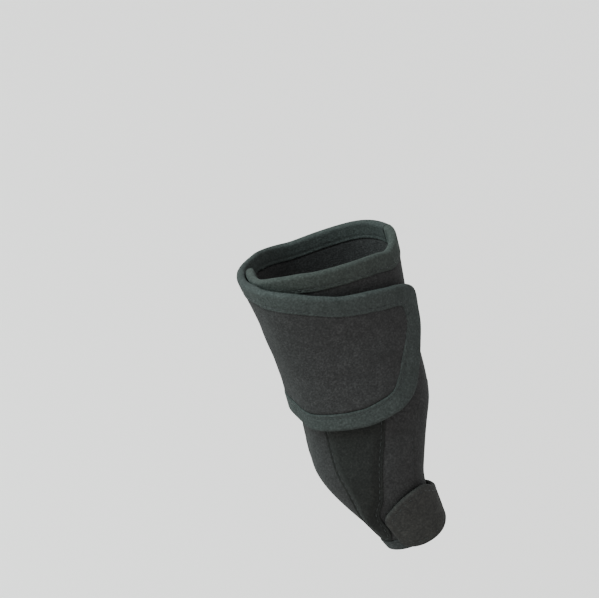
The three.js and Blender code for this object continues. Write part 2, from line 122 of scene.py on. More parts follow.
# %% [markdown]
# ## The form under the cloth
# Each row of the first table is one section across the form, given by its highest, lowest and
# widest points. A section is made of four quarter superellipses that meet at those points.
# `along` is a share of the length, heights are shares of the instep height and sideways places
# are shares of the ball width. The ray columns describe the toe sleeve's side by itself.

# %% Tables of the form
def named(columns, rows):
    """A table as one numpy column for each name."""
    grid = np.array(rows, float)
    return {name: grid[:, i] for i, name in enumerate(columns.split())}


SECTIONS = named(
    "along sole top medial medialLevel ridge keel outer outerLevel rayOuter rayLevel",
    [
        [-0.371, 0.290, 1.412, -0.402, 0.742, -0.024, 0.146, 0.378, 0.532, 0.378, 0.532],
        [-0.214, 0.218, 1.286, -0.415, 0.661, -0.037, 0.146, 0.402, 0.460, 0.402, 0.460],
        [-0.071, 0.137, 1.168, -0.402, 0.548, -0.073, 0.134, 0.427, 0.379, 0.427, 0.379],
        [0.071, 0.055, 1.010, -0.384, 0.419, -0.106, 0.085, 0.463, 0.290, 0.463, 0.290],
        [0.214, -0.048, 0.880, -0.396, 0.306, -0.140, -0.037, 0.500, 0.185, 0.500, 0.185],
        [0.357, -0.168, 0.746, -0.433, 0.210, -0.196, -0.183, 0.537, 0.081, 0.488, 0.081],
        [0.407, -0.174, 0.650, -0.449, 0.181, -0.232, -0.226, 0.549, 0.065, 0.341, 0.081],
        [0.457, -0.158, 0.552, -0.455, 0.161, -0.256, -0.256, 0.549, 0.065, 0.110, 0.113],
        [0.507, -0.131, 0.461, -0.451, 0.139, -0.280, -0.280, 0.549, 0.065, -0.073, 0.129],
        [0.557, -0.105, 0.381, -0.443, 0.121, -0.296, -0.296, 0.549, 0.065, -0.146, 0.129],
        [0.643, -0.077, 0.306, -0.420, 0.103, -0.293, -0.293, 0.549, 0.065, -0.152, 0.110],
        [0.729, -0.069, 0.248, -0.402, 0.090, -0.287, -0.287, 0.549, 0.065, -0.159, 0.090],
        [0.800, -0.069, 0.200, -0.390, 0.077, -0.280, -0.280, 0.549, 0.065, -0.177, 0.077],
    ],
)
SQUARENESS = {"medialTop": 2.2, "medialSole": 2.3, "outerTop": 1.9, "outerSole": 2.4}
print("sections:", len(SECTIONS["along"]))

# %% Tables of the panel and the pocket
PANEL_HEEL_EDGE = named(
    "around along",
    [
        [-90, -0.272], [-67, -0.270], [-50, -0.264], [-25, -0.258], [-5, -0.236],
        [7, -0.209], [22, -0.181], [39, -0.153], [54, -0.130], [65, -0.112],
        [75, -0.109], [85, -0.113], [94, -0.123], [110, -0.135],
    ],
)
PANEL_TOP_EDGE = named(
    "along around",
    [
        [-0.420, 108], [0.343, 108], [0.371, 108], [0.400, 109.4], [0.429, 112.6],
        [0.450, 117.2], [0.471, 124.7], [0.486, 133.2], [0.500, 146.2], [0.512, 165],
        [0.515, 180],
    ],
)
PANEL_SOLE_EDGE = named(
    "along around",
    [
        [-0.420, -79], [0.140, -79], [0.214, -83.7], [0.286, -89], [0.336, -92],
        [0.371, -94.5], [0.400, -97.4], [0.429, -101.9], [0.450, -107.9], [0.471, -117.5],
        [0.486, -127.5], [0.500, -142.5], [0.512, -164], [0.515, -180],
    ],
)
SLEEVE_END = named(
    "around along",
    [
        [-180, 0.718], [-90, 0.714], [-45, 0.716], [0, 0.730], [45, 0.742],
        [90, 0.738], [135, 0.727], [180, 0.718],
    ],
)
POCKET_SEAMS = named(
    "along lower upper",
    [
        [-0.043, -14, 24], [-0.029, -22, 31], [0.071, -25, 33], [0.179, -26, 32],
        [0.250, -26, 30], [0.336, -29, 23], [0.393, -31, 18], [0.436, -33, 13],
        [0.486, -39, 7], [0.529, -48, 0], [0.571, -56, -16], [0.629, -58, -19],
        [0.657, -54, -24], [0.668, -45, -30],
    ],
)
WEB_X = PANEL_TOP_EDGE["along"][-1] * DEVICE_LENGTH
print("web beside the toe at x =", round(WEB_X, 1), "mm")

# %% Tables of the straps
STRAP = named(
    "around heel toe panel pocket heelTape",
    [
        [84, -0.117, 0.356, 0, 0, 0], [112, -0.135, 0.344, 0, 0, 0],
        [136, -0.161, 0.309, 0, 0, 0], [156, -0.180, 0.273, 0, 0, 0],
        [182, -0.209, 0.242, 0, 0, 0], [225, -0.250, 0.211, 0, 0, 0],
        [252, -0.268, 0.197, 0, 0, 0], [277, -0.273, 0.187, 1, 0, 1],
        [294, -0.272, 0.187, 1, 0, 1], [308, -0.268, 0.194, 1, 0, 1],
        [320, -0.261, 0.211, 1, 0.2, 1], [331, -0.246, 0.231, 1, 0.8, 1],
        [344, -0.221, 0.248, 1, 1, 1.5], [354, -0.195, 0.263, 1, 1, 2],
        [365, -0.157, 0.284, 1, 1, 3], [376, -0.119, 0.302, 1, 1, 3],
        [396, -0.074, 0.312, 1, 1, 3], [412, -0.041, 0.313, 1, 0.5, 3],
        [425, -0.025, 0.313, 1, 0.1, 3], [450, 0.000, 0.314, 1, 0, 2],
    ],
)
STRAP_ENDS = named(
    "across start end",
    [
        [0, 109, 414], [0.04, 109, 427], [0.1, 109, 437], [0.18, 109, 443],
        [0.27, 109, 445], [0.43, 109, 442], [0.63, 109, 430], [0.78, 109, 422.5],
        [0.87, 109, 417], [0.94, 109, 411.5], [0.98, 109, 404.5], [1, 109, 396],
    ],
)
TOE_STRAP = named(
    "around heel toe",
    [
        [-13, 0.596, 0.674], [-9, 0.577, 0.698], [4, 0.561, 0.720], [27, 0.548, 0.733],
        [58, 0.556, 0.736], [90, 0.602, 0.728], [130, 0.612, 0.716], [176, 0.600, 0.704],
        [182, 0.604, 0.697],
    ],
)
print("strap turns", STRAP_ENDS["end"].max() - STRAP_ENDS["start"].min(), "degrees")


# %% [markdown]
# A table has few rows, so a smooth curve goes through them. The section formula is exact but
# has small creases where its quarters meet. Real cloth bridges those, so the form is worked
# out once on a fine lattice and blurred a little, and every layer is read from that lattice.
# The panel follows the narrow form of the ray, the toe sleeve and what leads to it. The strap
# follows the whole width, and the two forms blend just after its seam, so that panel and strap
# meet edge to edge.

# %% Curves through a table
def curve(table, key, column, at):
    """A cubic through the rows whose slope at a row is that of the line between its neighbours."""
    k, v = table[key], table[column]
    last = len(k) - 1
    before, after = np.maximum(np.arange(last + 1) - 1, 0), np.minimum(np.arange(last + 1) + 1, last)
    slope = (v[after] - v[before]) / (k[after] - k[before])
    at = np.clip(np.asarray(at, float), k[0], k[-1])
    i = np.clip(np.searchsorted(k, at, side="left") - 1, 0, last - 1)
    span, rise = k[i + 1] - k[i], v[i + 1] - v[i]
    t = (at - k[i]) / span
    first = np.where(rise == 0, 0, slope[i] * span)
    second = np.where(rise == 0, 0, slope[i + 1] * span)
    bend = (t**3 - 2 * t**2 + t) * first + (t**3 - t**2) * second
    return v[i] + (3 * t**2 - 2 * t**3) * rise + bend


def ease(x, low=0.0, high=1.0):
    """0 below low, 1 above high, and a smooth S between them."""
    t = np.clip((np.asarray(x, float) - low) / (high - low), 0, 1)
    return t * t * (3 - 2 * t)


def crowded(count):
    """Shares from 0 to 1, closer at both ends: half of one minus the cosine over half a turn."""
    return 0.5 - 0.5 * np.cos(np.pi * np.linspace(0, 1, count))


print("instep's share of its height at the origin:", round(float(curve(SECTIONS, "along", "top", 0)), 3))


# %% The form on a lattice
LATTICE_X = np.arange(-62.0, 118.0, 1.0)
LATTICE_TURN = np.arange(0.0, 360.0, 1.0)
FORM_BLUR, NORMAL_BLUR = (5.0, 1.6), (3.0, 1.5)
STRAP_LEAVES = (109, 150)


def raw_form(ray):
    """Sections: middle plus half width times cos to a power, level plus height times sin to a power."""
    x, around = np.meshgrid(LATTICE_X, LATTICE_TURN, indexing="ij")
    share = x / DEVICE_LENGTH
    read = lambda column, size: curve(SECTIONS, "along", column, share) * size
    c, n = np.cos(np.radians(around)), np.sin(np.radians(around))
    medial, top = c > 0, n > 0
    square = np.where(
        medial,
        np.where(top, SQUARENESS["medialTop"], SQUARENESS["medialSole"]),
        np.where(top, SQUARENESS["outerTop"], SQUARENESS["outerSole"]),
    )
    middle = np.where(top, read("ridge", BALL_WIDTH), read("keel", BALL_WIDTH))
    outer, outer_level = ("rayOuter", "rayLevel") if ray else ("outer", "outerLevel")
    level = np.where(medial, read("medialLevel", INSTEP_HEIGHT), read(outer_level, INSTEP_HEIGHT))
    side = np.where(medial, read("medial", BALL_WIDTH), read(outer, BALL_WIDTH))
    height = np.where(top, read("top", INSTEP_HEIGHT), read("sole", INSTEP_HEIGHT))
    y = middle + (side - middle) * np.abs(c) ** (2 / square)
    z = level + (height - level) * np.abs(n) ** (2 / square)
    return np.stack([x, y, z], -1)


def blur(values, steps, wrap):
    """Each value becomes the mean of its neighbours, weighted by a bell curve of that many steps."""
    reach = int(3 * steps)
    weight = np.exp(-0.5 * (np.arange(-reach, reach + 1) / steps) ** 2)
    weight /= weight.sum()
    out = np.zeros_like(values)
    for k, w in zip(range(-reach, reach + 1), weight):
        if wrap:
            out += w * np.roll(values, k, 1)
        else:
            out += w * values[np.clip(np.arange(len(values)) + k, 0, len(values) - 1)]
    return out


def form_lattice(ray):
    """The blurred form and its outward normals, a point for each millimetre and degree."""
    points = raw_form(ray)
    points[..., 1:] = blur(blur(points[..., 1:], FORM_BLUR[0], True), FORM_BLUR[1], False)
    along = np.gradient(points, axis=0)
    about = (np.roll(points, -1, 1) - np.roll(points, 1, 1)) / 2
    normal = unit(np.cross(along, about))
    return points, blur(blur(normal, NORMAL_BLUR[0], True), NORMAL_BLUR[1], False)


ray_form, whole_form = form_lattice(True), form_lattice(False)
leaves = ease(LATTICE_TURN, *STRAP_LEAVES)[None, :, None]
strap_form = tuple(ray + (whole - ray) * leaves for ray, whole in zip(ray_form, whole_form))
FORM = {"ray": ray_form, "strap": strap_form}
print("form points:", ray_form[0].shape[:2])


# %% Reading the lattice
def cubic_weights(t):
    """Weights of four neighbours for a smooth curve through the middle two."""
    return [
        -0.5 * t + t**2 - 0.5 * t**3,
        1 - 2.5 * t**2 + 1.5 * t**3,
        0.5 * t + 2 * t**2 - 1.5 * t**3,
        -0.5 * t**2 + 0.5 * t**3,
    ]


def read_form(x, around, kind, what):
    """The lattice's points or normals between its nodes, by cubics both ways."""
    grid = FORM[kind][what]
    u = np.clip(x - LATTICE_X[0], 1, len(LATTICE_X) - 3)
    v = np.mod(around, 360.0)
    i, j = np.floor(u).astype(int), np.floor(v).astype(int)
    wu, wv = cubic_weights(u - i), cubic_weights(v - j)
    total = np.zeros(np.shape(u) + (3,))
    for a in range(4):
        for b in range(4):
            weight = (wu[a] * wv[b])[..., None]
            total += weight * grid[i + a - 1, (j + b - 1) % 360]
    return total


def above(x, around, height, kind):
    """The form's point plus its normal times a height."""
    x, around, height = np.broadcast_arrays(*(np.asarray(v, float) for v in (x, around, height)))
    return read_form(x, around, kind, 0) + unit(read_form(x, around, kind, 1)) * height[..., None]


print("form under the origin, mm:", above(0.0, 270.0, 0.0, "strap").round(2))


# %% [markdown]
# ## From arrays to meshes
# A layer of cloth is two faces over one grid, an outer and an inner one. They come together at
# the cloth's edge, and points that meet are welded, so every piece is one closed skin. A tape
# is a profile carried along a path. Both give plain arrays that go to the mesh in one call.

# %% Faces and meshes
def grid_faces(rows, columns, first=0, flip=False, wrap_rows=False, wrap_columns=False):
    """Four-sided faces between neighbouring rows and columns of a grid of points."""
    i = np.arange(rows if wrap_rows else rows - 1)[:, None]
    j = np.arange(columns if wrap_columns else columns - 1)[None, :]
    i2, j2 = (i + 1) % rows, (j + 1) % columns
    corners = [i * columns + j, i2 * columns + j, i2 * columns + j2, i * columns + j2]
    faces = np.stack([np.broadcast_to(c, (i.shape[0], j.shape[1])) for c in corners], -1)
    faces = faces.reshape(-1, 4) + first
    return faces[:, ::-1] if flip else faces


def weld(points, faces, near=0.004):
    """Points in the same small cube become one, and two walls that then lie on each other go."""
    _, first, same = np.unique(
        np.round(points / near).astype(np.int64), axis=0, return_index=True, return_inverse=True
    )
    faces = same.ravel()[faces]
    keep = []
    for face in faces[(faces != np.roll(faces, 1, 1)).all(1)].tolist():
        keep.append(face)
    for face in faces[(faces == np.roll(faces, 1, 1)).any(1)].tolist():
        corners = list(dict.fromkeys(face))
        if len(corners) > 2:
            keep.append(corners)
    corner_sets = [tuple(sorted(face)) for face in keep]
    times = {}
    for corners in corner_sets:
        times[corners] = times.get(corners, 0) + 1
    return points[first], [face for face, corners in zip(keep, corner_sets) if times[corners] == 1]


def new_mesh(name, points, faces, tracks=None):
    """A mesh object at the origin from points in millimetres. tracks holds a UV pair for each point."""
    mesh = bpy.data.meshes.new(name)
    mesh.from_pydata((points * MM).tolist(), [], faces if isinstance(faces, list) else faces.tolist())
    if tracks is not None:
        corner = np.empty(len(mesh.loops), np.int32)
        mesh.loops.foreach_get("vertex_index", corner)
        layer = mesh.uv_layers.new(name="along_and_across")
        layer.uv.foreach_set("vector", np.asarray(tracks, np.float32)[corner].ravel())
    mesh.shade_smooth()
    mesh.update()
    piece = bpy.data.objects.new(name, mesh)
    bpy.context.collection.objects.link(piece)
    print(f"{name}: {len(mesh.vertices)} points, {len(mesh.polygons)} faces")
    return piece


# %% Closed layers
def signed_volume(points, faces):
    """The volume inside a closed grid of four-sided faces, negative when they face inwards."""
    a, b, c, d = (points[faces[:, k]] for k in range(4))
    triple = lambda p, q, r: np.einsum("ij,ij->i", p, np.cross(q, r)).sum()
    return (triple(a, b, c) + triple(a, c, d)) / 6


def rim(grid):
    """A grid's border as one closed row, side after side."""
    return np.concatenate([grid[0], grid[1:, -1], grid[-1, -2::-1], grid[-2::-1, 0]])


def cloth_layer(name, outer, inner):
    """Two grids of points as one closed layer, with walls where their borders don't meet."""
    rows, columns = outer.shape[:2]
    points = np.concatenate([outer.reshape(-1, 3), inner.reshape(-1, 3)])
    many = rows * columns
    ring = rim(np.arange(many).reshape(rows, columns))[:-1]
    after = np.roll(ring, -1)
    wall = np.stack([ring, after, after + many, ring + many], -1)
    faces = np.concatenate([grid_faces(rows, columns), grid_faces(rows, columns, many, flip=True), wall])
    if signed_volume(points, faces) < 0:
        faces = faces[:, ::-1]
    return new_mesh(name, *weld(points, faces))


print("layer helpers ready")


# %% Paths on the form
def path_lengths(points):
    """Running length along a row of points."""
    return np.concatenate([[0], np.cumsum(np.linalg.norm(np.diff(points, axis=0), axis=1))])


def even_path(x, around, height_at, kind, step, closed=False):
    """The same path with its stations a step apart, and its running length."""
    run = path_lengths(above(x, around, height_at(x, around), kind))
    count = max(4, int(round(run[-1] / step)))
    goal = np.linspace(0, run[-1], count + 1)
    if closed:
        goal = goal[:-1]
    return np.interp(goal, run, x), np.interp(goal, run, around), goal


def offsets(x, around, height_at, kind, side, closed=False):
    """Steps in x and around that go one millimetre inwards from a path, square to it on the form.

    The inward way is the cross product of normal and tangent, written as a sum of the form's two
    slopes: two equations in two unknowns.
    """
    points = above(x, around, height_at(x, around), kind)
    if closed:
        tangent = np.roll(points, -1, 0) - np.roll(points, 1, 0)
    else:
        tangent = np.gradient(points, axis=0)
    along = (above(x + 0.3, around, 0, kind) - above(x - 0.3, around, 0, kind)) / 0.6
    about = (above(x, around + 1, 0, kind) - above(x, around - 1, 0, kind)) / 2
    inward = np.cross(unit(np.cross(along, about)), unit(tangent)) * side
    dot = lambda p, q: np.einsum("ij,ij->i", p, q)
    aa, ab, bb = dot(along, along), dot(along, about), dot(about, about)
    ia, ib = dot(inward, along), dot(inward, about)
    det = aa * bb - ab * ab
    return (ia * bb - ib * ab) / det, (ib * aa - ia * ab) / det


def ripple(run, spacing, seed=0.0):
    """An uneven wave between about -1 and 1: the sum of three sines whose lengths don't fit each other."""
    t = 2 * np.pi * np.asarray(run, float) / spacing
    waves = np.sin(t + seed) + 0.7 * np.sin(t * 0.618 + 2.1 * seed) + 0.5 * np.sin(t * 1.414 - seed)
    return waves / 2.2


def lifted(x, around, height, kind):
    """A row of points at a height, and the way from each to the point one millimetre above it."""
    low = above(x, around, height, kind)
    return low, above(x, around, height + 1, kind) - low


print("a millimetre inwards at the instep:", np.round(above(0, 90, 1, "ray") - above(0, 90, 0, "ray"), 2))


# %% [markdown]
# ## Binding tape
# The brace's edges are bound with a folded strip of the same cloth. It shows as a band about 8 mm wide,
# with a soft roll at the edge and a line of stitches near its inner lip. The band's paler tone is
# painted light, for the light that its raised edge catches. Its profile is carried along the edge,
# and the band puckers a little between stitches.

# %% The tape's profile
LIP_PLACES = np.array([0.0, 0.10, 0.35, 0.8, 1.3, 1.7, 2.1, 2.6])
LIP_RISES = np.array([-0.62, -0.30, -0.06, 0.0, -0.13, -0.20, -0.13, 0.0])
STITCH_INSET, THREAD_SINK = 1.7, 0.16
FLAT_RUN = (3.2, 0.6)
ROUND_FROM = 0.15
TAPE_DRAWN = 0.92


def tape_profile(width):
    """A folded strip cut across: a lip, a flat run, half an ellipse round the edge, and back inside."""
    lip = np.stack([width - LIP_PLACES, HALF_TAPED + LIP_RISES], 1)
    flat = np.linspace(width - FLAT_RUN[0], FLAT_RUN[1], 5)
    top = np.concatenate([lip, np.stack([flat, np.full(5, HALF_TAPED)], 1)])
    bend = np.radians(np.linspace(90, -90, 11))
    out = ROUND_FROM - (FOLD + ROUND_FROM) * np.cos(bend)
    fold = np.stack([out, HALF_TAPED * np.sin(bend)], 1)
    hollow = [(width, -1), (width / 2, -1), (-FIT_GAP, -1), (-FIT_GAP, 1), (width / 2, 1), (width, 1)]
    lining = np.array(hollow) * [1, HALF_TAPED - TAPE_DRAWN]
    return np.concatenate([top, fold, top[::-1] * [1, -1], lining])


print("tape profile points:", len(tape_profile(TAPE_WIDTH)))

# %% A tape along an edge
STATION_MM = 1.15
OUTER_FACE = 1.2
PUCKER_MM, PUCKER_DEPTH = 5.2, 0.07
ROLL_MM, ROLL_DEPTH = 23.0, 0.10


def tape(name, x, around, height_at, kind, side, width, closed=False, seed=0.0, widen=None):
    """The profile carried along an edge. Its depth from the edge is multiplied by widen(x, around)."""
    x, around, run = even_path(x, around, height_at, kind, STATION_MM, closed)
    dx, da = offsets(x, around, height_at, kind, side, closed)
    inwards, up = tape_profile(width).T
    wide = widen(x, around) if widen else np.ones(len(x))
    deep = np.where(inwards > 0, inwards * wide[:, None], inwards)
    xs, turns = x[:, None] + dx[:, None] * deep, around[:, None] + da[:, None] * deep
    outer = np.where(up > OUTER_FACE, 1.0, 0.0)
    pucker = PUCKER_DEPTH * ripple(run, PUCKER_MM, seed)[:, None] * outer * ease(inwards, 0, 2)
    roll = ROLL_DEPTH * ripple(run, ROLL_MM, seed + 1)[:, None] * outer
    points = above(xs, turns, height_at(xs, turns) + up + pucker + roll, kind)
    rows, columns = points.shape[:2]
    faces = grid_faces(rows, columns, wrap_rows=closed, wrap_columns=True)
    flat = points.reshape(-1, 3)
    tracks = np.stack(np.broadcast_arrays(run[:, None] * MM, inwards[None, :] * MM), -1).reshape(-1, 2)
    ends = []
    if not closed:
        ends = [list(range(columns))[::-1], [(rows - 1) * columns + k for k in range(columns)]]
    if signed_volume(flat, faces) < 0:
        faces = faces[:, ::-1]
        ends = [end[::-1] for end in ends]
    return new_mesh(name, flat, faces.tolist() + ends, tracks)


print("stations of a tape, mm apart:", STATION_MM)

# %% Rows of thread
THREAD_RINGS, THREAD_SIDES = 5, 6
THREAD_GIRTH = np.array([0.35, 0.9, 1.0, 0.9, 0.35])


def stitches(name, rows, length=2.6, pitch=3.4, radius=0.2):
    """Short round threads, end to end along rows of points: each is a tapered tube, sunk by half."""
    t = np.linspace(-1, 1, THREAD_RINGS)
    spin = np.radians(np.arange(THREAD_SIDES) * 360 / THREAD_SIDES)[None, None, :, None]
    girth = (radius * THREAD_GIRTH)[None, :, None, None]
    sag = (radius * 0.25 - radius * 1.1 * t**2)[None, :, None]
    size = THREAD_RINGS * THREAD_SIDES
    all_points, all_faces, start = [], [], 0
    for line, normals in rows:
        run = path_lengths(line)
        count = max(1, int(run[-1] / pitch))
        middle = (np.arange(count) + 0.5) * run[-1] / count
        at = lambda r, v: np.stack([np.interp(r, run, v[:, k]) for k in range(3)], -1)
        spots = middle[:, None] + t[None, :] * length / 2
        up = unit(at(spots, normals))
        heading = at(middle + 0.6, line) - at(middle - 0.6, line)
        across = unit(np.cross(heading[:, None, :], up))
        spoke = across[:, :, None, :] * np.cos(spin) + up[:, :, None, :] * np.sin(spin)
        ring = (at(spots, line) + up * sag)[:, :, None, :] + spoke * girth
        faces = grid_faces(THREAD_RINGS, THREAD_SIDES, wrap_columns=True)
        caps = [list(range(THREAD_SIDES))[::-1], list(range(size - THREAD_SIDES, size))]
        one = ring[0].reshape(-1, 3)
        if signed_volume(one - one.mean(0), faces) < 0:
            faces, caps = faces[:, ::-1], [cap[::-1] for cap in caps]
        for k in range(count):
            all_faces += (faces + start).tolist() + [[start + c for c in cap] for cap in caps]
            start += size
        all_points.append(ring.reshape(-1, 3))
    return new_mesh(name, np.concatenate(all_points), all_faces)


def seam_row(x, around, height_at, kind, side, inwards, lift, widen=None):
    """Points and normals of a seam that runs inwards of an edge at a height above the layer's middle."""
    x, around, _ = even_path(x, around, height_at, kind, 1.0)
    dx, da = offsets(x, around, height_at, kind, side)
    deep = inwards + (TAPE_WIDTH * (widen(x, around) - 1) if widen else 0)
    xs, turns = x + dx * deep, around + da * deep
    return lifted(xs, turns, height_at(xs, turns) + lift, kind)


print("faces of one stitch:", (THREAD_RINGS - 1) * THREAD_SIDES + 2)


# %% Distance to an edge
def edge_distance(points, edge, wide=1.0):
    """Each point's distance to the nearest point of an edge line, divided by the tape's widening there."""
    flat = points.reshape(-1, 3)
    wide = np.broadcast_to(wide, len(edge))
    best = np.full(len(flat), 1e9)
    for start in range(0, len(flat), 4000):
        part = flat[start : start + 4000]
        gap = np.linalg.norm(part[:, None, :] - edge[None, :, :], axis=2)
        nearest = gap.argmin(1)
        best[start : start + 4000] = gap[np.arange(len(part)), nearest] / wide[nearest]
    return best.reshape(points.shape[:2])


def cut_edge(distance, size=1.3, least=0.1):
    """A cut edge's share of the thickness: a quarter circle from the least share up to all of it."""
    return least + (1 - least) * np.sqrt(1 - (1 - np.clip(distance / size, 0, 1)) ** 2)


def cloth_half(distance, width, half=HALF_CLOTH):
    """Half the cloth's thickness: thin inside its tape, then a soft roll up to the full cloth."""
    return 0.6 + (half - 0.6) * ease(distance, width - 1.2, width + 1.1)


print("half of the cloth 2 mm inside its tape, mm:", cloth_half(TAPE_WIDTH + 2, TAPE_WIDTH))

# %% [markdown]
# ## Inner panel
# The panel is one layer. Heel-wards it is an open band between a top and a sole edge. At the
# web beside the sleeve those edges meet, and from there on the panel is a closed toe sleeve.
# One grid does both: each row runs from the sole edge to the top edge, and past the web the two
# are half a turn away on each side.

# %% Edges of the panel
panel_mid = lambda x, around: np.full(np.shape(x), PANEL_MID)
panel_heel = lambda around: curve(PANEL_HEEL_EDGE, "around", "along", around) * DEVICE_LENGTH + FOLD
sleeve_end = lambda around: curve(SLEEVE_END, "around", "along", around) * DEVICE_LENGTH - FOLD


def panel_edges(x):
    """The sole and top edges in degrees, half a turn each way past the web."""
    share = np.asarray(x, float) / DEVICE_LENGTH
    return (
        curve(PANEL_SOLE_EDGE, "along", "around", share),
        curve(PANEL_TOP_EDGE, "along", "around", share),
    )


def web_path(start_top, start_sole):
    """The bound edge in one line: along the top edge to the web and back along the sole edge."""
    left = (1 - np.linspace(0, 1, 120)) ** 2.4
    top_x = WEB_X - (WEB_X - start_top) * left
    sole_x = WEB_X - (WEB_X - start_sole) * left
    top = panel_edges(top_x)[1]
    sole = panel_edges(sole_x)[0] + 360
    return np.concatenate([top_x, sole_x[-2::-1]]), np.concatenate([top, sole[-2::-1]])


heel_turn = np.linspace(-78, 107, 200)
heel_edge_x = panel_heel(heel_turn)
SIDE_TAPE_STARTS = np.array([0.352, 0.172]) * DEVICE_LENGTH
web_x, web_turn = web_path(*SIDE_TAPE_STARTS)
hem_turn = np.linspace(-180, 180, 240)
hem_x = sleeve_end(hem_turn)
print("web edge from x =", round(web_x[0], 1), "to", round(web_x.max(), 1))

# %% The panel's grid
HEEL_ROW, NEAR_WEB, LAST_ROW = -40.0, 54.0, 103.5
near_web = WEB_X - (WEB_X - NEAR_WEB) * (1 - np.linspace(0, 1, 34)) ** 2.2
panel_rows = np.concatenate(
    [np.arange(HEEL_ROW, NEAR_WEB, 1.25), near_web, np.arange(WEB_X + 0.8, LAST_ROW, 0.9)]
)
low, high = panel_edges(panel_rows)
panel_turn = low[:, None] + (high - low)[:, None] * np.linspace(0, 1, 170)[None, :]
level_x = np.broadcast_to(panel_rows[:, None], panel_turn.shape)
first, final = panel_rows[0], panel_rows[-1]
to_heel = panel_heel(np.clip(panel_turn, -90, 110)) - first
to_hem = sleeve_end(panel_turn) - final
panel_x = level_x + to_heel * (1 - ease(level_x, first, 36.0)) + to_hem * ease(level_x, 80.0, final)
panel_mid_points = above(panel_x, panel_turn, PANEL_MID, "ray")
print("panel grid:", panel_x.shape)

# %% [markdown]
# The cloth is thin inside a tape and rounded where its cut edge meets the strap or the sole
# side. Between the edges it swells quietly, as padding does, and one short seam draws it down.

# %% The panel's thickness
ROOT_SPAN, SOLE_SPAN = (-21.0, 56.0), (-42.0, 30.0)
SEAM_TURN, SEAM_SPAN, MM_PER_DEGREE = 50.0, (56.0, 74.0), 0.42
SEAM_DEPTH, SEAM_WIDTH = 0.45, 1.1
SWELL = 0.22


def nearest(points, *edges):
    """The smallest of the distances to some edge lines."""
    return np.min([edge_distance(points, edge) for edge in edges], axis=0)


heel_line = above(heel_edge_x, heel_turn, PANEL_MID, "ray")
web_line = above(web_x, web_turn, PANEL_MID, "ray")
hem_line = above(hem_x, hem_turn, PANEL_MID, "ray")
root_x, sole_x = np.linspace(*ROOT_SPAN, 160), np.linspace(*SOLE_SPAN, 150)
root_line = above(root_x, panel_edges(root_x)[1], PANEL_MID, "ray")
sole_line = above(sole_x, panel_edges(sole_x)[0], PANEL_MID, "ray")
taped = nearest(panel_mid_points, heel_line, web_line)
hemmed = nearest(panel_mid_points, hem_line)
raw = nearest(panel_mid_points, root_line, sole_line)
panel_half = np.minimum(cloth_half(taped, TAPE_WIDTH), cloth_half(hemmed, HEM_WIDTH)) * cut_edge(raw)
past_seam = np.maximum(SEAM_SPAN[0] - panel_x, 0) + np.maximum(panel_x - SEAM_SPAN[1], 0)
seam_gap = np.hypot((panel_turn - SEAM_TURN) * MM_PER_DEGREE, past_seam)
seam_dip = SEAM_DEPTH * np.exp(-((seam_gap / SEAM_WIDTH) ** 2))
swell = SWELL * ripple(panel_x + 6 * np.sin(np.radians(panel_turn) * 2), 31.0, 0.4)
swell = swell * ease(np.minimum(taped, raw), 8, 14) * ease(hemmed, 5, 10)
panel = cloth_layer(
    "medial_panel_cloth",
    above(panel_x, panel_turn, PANEL_MID + panel_half + swell - seam_dip, "ray"),
    above(panel_x, panel_turn, PANEL_MID - panel_half, "ray"),
)

# %% Tapes and seams of the panel
heel_path = (heel_edge_x, heel_turn, panel_mid, "ray", -1)
side_path = (web_x, web_turn, panel_mid, "ray", -1)
hem_path = (hem_x, hem_turn, panel_mid, "ray", 1)
panel_top_tape = tape("panel_top_tape", *heel_path, TAPE_WIDTH, seed=0.3)
panel_side_tape = tape("panel_side_tape", *side_path, TAPE_WIDTH, seed=1.3)
toe_hem = tape("toe_hem_tape", *hem_path, HEM_WIDTH, closed=True, seed=2.2)
TAPE_THREAD = HALF_TAPED - THREAD_SINK
panel_seams = [
    seam_row(*path, width - STITCH_INSET, TAPE_THREAD)
    for path, width in ((heel_path, TAPE_WIDTH), (side_path, TAPE_WIDTH), (hem_path, HEM_WIDTH))
]
seam_x = np.linspace(SEAM_SPAN[0] + 1, SEAM_SPAN[1] - 1, 40)
panel_seams.append(lifted(seam_x, SEAM_TURN, PANEL_FACE - 0.42, "ray"))
panel_thread = stitches("panel_stitching", panel_seams)

# %% [markdown]
# ## Splint pocket
# A flat pocket is sewn on the panel and runs along it towards the toe sleeve. It holds a thin
# splint, so its middle is flat and its rim is drawn down to the panel by the seam. The rim's
# height is a function of the distance to the pocket's edge: low at the seam and full a few
# millimetres in.

# %% The pocket's grid
first, final = POCKET_SEAMS["along"][[0, -1]]
pocket_along = first + (final - first) * 0.5 * (np.linspace(0, 1, 110) + crowded(110))
pocket_low = curve(POCKET_SEAMS, "along", "lower", pocket_along)
pocket_high = curve(POCKET_SEAMS, "along", "upper", pocket_along)
pocket_turn = pocket_low[:, None] + (pocket_high - pocket_low)[:, None] * crowded(48)[None, :]
pocket_x = np.broadcast_to(pocket_along[:, None] * DEVICE_LENGTH, pocket_turn.shape)
pocket_mid = above(pocket_x, pocket_turn, POCKET_INNER, "ray")
print("pocket grid:", pocket_x.shape)

